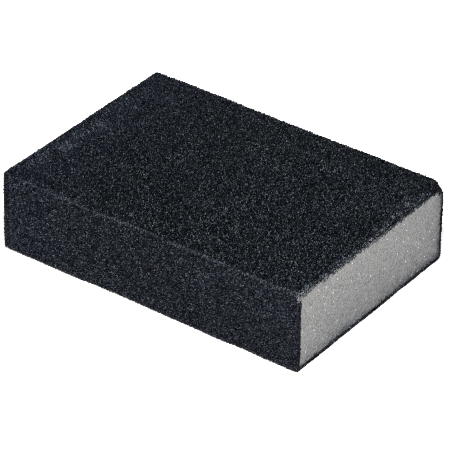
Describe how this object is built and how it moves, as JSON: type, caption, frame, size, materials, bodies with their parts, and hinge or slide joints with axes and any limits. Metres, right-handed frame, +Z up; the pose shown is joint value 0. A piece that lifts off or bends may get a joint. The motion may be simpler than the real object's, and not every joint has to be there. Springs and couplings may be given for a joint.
{
  "type": "sanding block",
  "caption": "Rectangular foam sanding block with a grey foam core, bare at both cut ends, and black abrasive coats on the top, bottom and both long sides.",
  "frame": {"origin": "centre of the bottom working face", "axes": "+X along the length, from one bare cut end to the other; the front long side faces -Y; +Z up through the thickness"},
  "size_m": [0.1, 0.07, 0.025],
  "materials": {
    "foam": "light grey flexible open-cell foam, matte, fine cells, cut faces bare",
    "bond_resin": "thin black resin layer that soaks a little into the foam, matte",
    "abrasive_grit": "black abrasive grains held in size resin, coarse to medium, rough, with small light glints"
  },
  "bodies": {
    "root": {"foam_core": "foam", "top_bond_coat": "bond_resin", "bottom_bond_coat": "bond_resin", "front_bond_coat": "bond_resin", "rear_bond_coat": "bond_resin", "top_grit": "abrasive_grit", "bottom_grit": "abrasive_grit", "front_grit": "abrasive_grit", "rear_grit": "abrasive_grit"}
  },
  "joints": []
}
